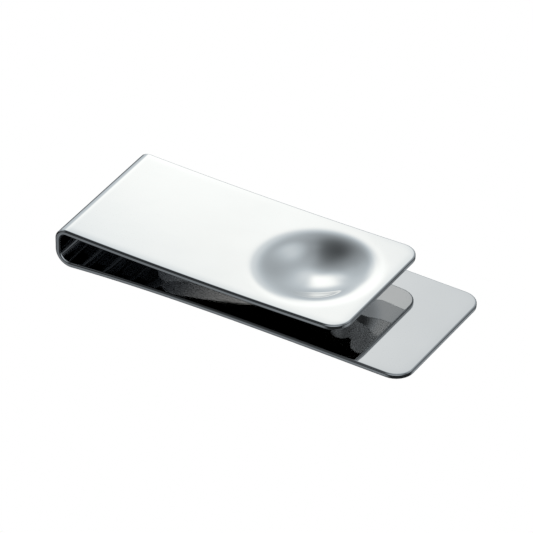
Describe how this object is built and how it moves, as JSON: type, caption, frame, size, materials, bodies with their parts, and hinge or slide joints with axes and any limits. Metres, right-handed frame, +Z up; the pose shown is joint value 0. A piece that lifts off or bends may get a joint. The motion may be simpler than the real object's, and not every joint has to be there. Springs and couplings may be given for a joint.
{
  "type": "money clip",
  "caption": "Spring money clip: a polished steel strip folded into a narrow U, with a long lower leaf and a shorter upper leaf that has a round thumb dish.",
  "frame": {"origin": "centre of the clip's plan, at the height of the surface that it lies on", "axes": "+X from the fold to the open tips, +Y across the strip, +Z up from the lower leaf to the upper leaf"},
  "size_m": [0.06, 0.024, 0.0064],
  "materials": {
    "polished_steel": "polished"
  },
  "bodies": {
    "lower_leaf": {"lower_leaf_tongue": "polished_steel", "lower_leaf_span": "polished_steel", "lower_leaf_heel": "polished_steel"},
    "fold": {"lower_bend": "polished_steel", "spine_wall": "polished_steel", "upper_bend": "polished_steel", "upper_leaf_root": "polished_steel"},
    "upper_neck": {"upper_leaf_neck": "polished_steel"},
    "upper_head": {"upper_leaf_span": "polished_steel", "upper_leaf_head": "polished_steel", "thumb_dish": "polished_steel"}
  },
  "joints": [
    {"name": "fold_flex", "type": "hinge", "parent": "lower_leaf", "child": "fold", "pos_m": [-0.02682, 0, 0.00047], "axis": [0, -1, 0], "range_deg": [-1.4, 4.5], "stiffness_Nm_per_rad": 29},
    {"name": "root_flex", "type": "hinge", "parent": "fold", "child": "upper_neck", "pos_m": [-0.02201, 0, 0.00573], "axis": [0, -1, 0], "range_deg": [-0.82, 2.62]},
    {"name": "neck_flex", "type": "hinge", "parent": "upper_neck", "child": "upper_head", "pos_m": [-0.01201, 0, 0.00545], "axis": [0, -1, 0], "range_deg": [-0.62, 2]}
  ],
  "couplings": [
    {"joint": "root_flex", "follows": "fold_flex", "ratio": 0.58},
    {"joint": "neck_flex", "follows": "fold_flex", "ratio": 0.44}
  ]
}
